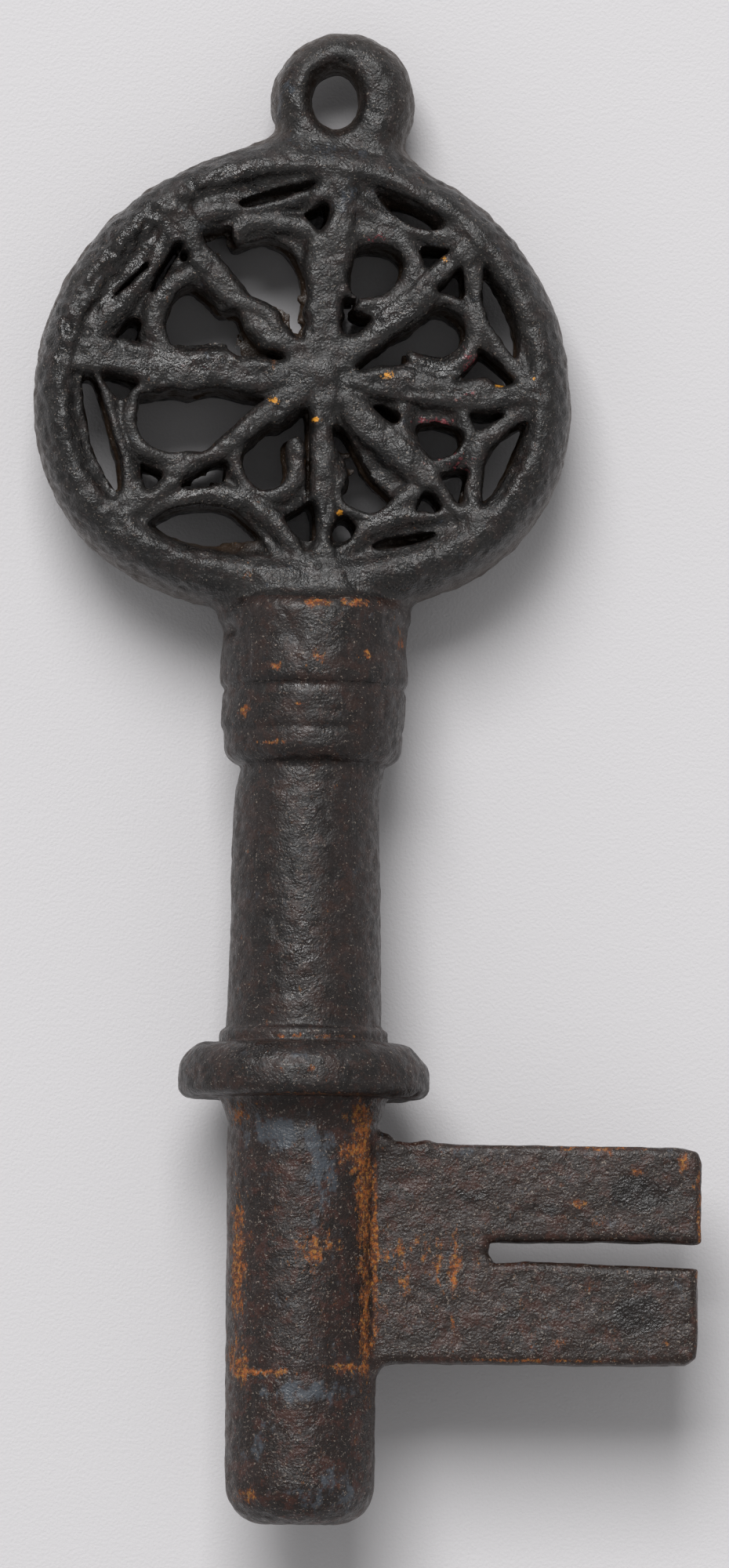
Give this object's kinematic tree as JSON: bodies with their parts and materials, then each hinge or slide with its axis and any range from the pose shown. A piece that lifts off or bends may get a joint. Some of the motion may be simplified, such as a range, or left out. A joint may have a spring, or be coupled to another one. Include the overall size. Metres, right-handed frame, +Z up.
{
  "type": "gate key",
  "caption": "Old cast-iron gate key with a pierced scrollwork bow, suspension eye, moulded shank head, stop collar, solid pin and a flat bit with a ward slot",
  "frame": {"origin": "under the middle of the bounding box, on the surface that the key lies on", "axes": "+Y runs along the key from the pin's tip to the eye, +X points to the side that the bit is on, +Z is up out of the bow's face; the shank leans 4.2 degrees down towards the eye, because the key lies on its collar and on the far end of its bow"},
  "size_m": [0.09, 0.1994, 0.034],
  "materials": {
    "bow_iron": "dark sand-cast iron with an old blackened skin, fine grain, dull sheen on the crests",
    "shank_iron": "dark brown-black sand-cast iron with specks of rust",
    "pin_iron": "worn cast iron with orange rust and grey scale"
  },
  "bodies": {
    "root": {"pin": "pin_iron", "bit": "pin_iron", "collar_fillet": "pin_iron", "collar": "shank_iron", "seat_ring": "shank_iron", "shank": "shank_iron", "lower_bead": "shank_iron", "middle_bead": "shank_iron", "bolster": "shank_iron", "bow_seat": "bow_iron", "bow_rim": "bow_iron", "suspension_eye": "bow_iron", "hub_boss": "bow_iron", "spoke_north": "bow_iron", "spoke_south": "bow_iron", "spoke_east": "bow_iron", "spoke_west": "bow_iron", "spoke_north_east": "bow_iron", "spoke_south_east": "bow_iron", "spoke_south_west": "bow_iron", "spoke_north_west": "bow_iron", "chord_north_to_north_east": "bow_iron", "chord_north_east_to_east": "bow_iron", "chord_east_to_south_east": "bow_iron", "chord_south_east_to_south": "bow_iron", "chord_south_to_south_west": "bow_iron", "chord_south_west_to_west": "bow_iron", "chord_west_to_north_west": "bow_iron", "chord_north_west_to_north": "bow_iron", "scroll_north_east_by_north": "bow_iron", "scroll_east_by_north": "bow_iron", "scroll_east_by_south": "bow_iron", "scroll_south_east_by_south": "bow_iron", "scroll_south_west_by_south": "bow_iron", "scroll_west_by_south": "bow_iron", "scroll_west_by_north": "bow_iron", "scroll_north_west_by_north": "bow_iron"}
  },
  "joints": []
}
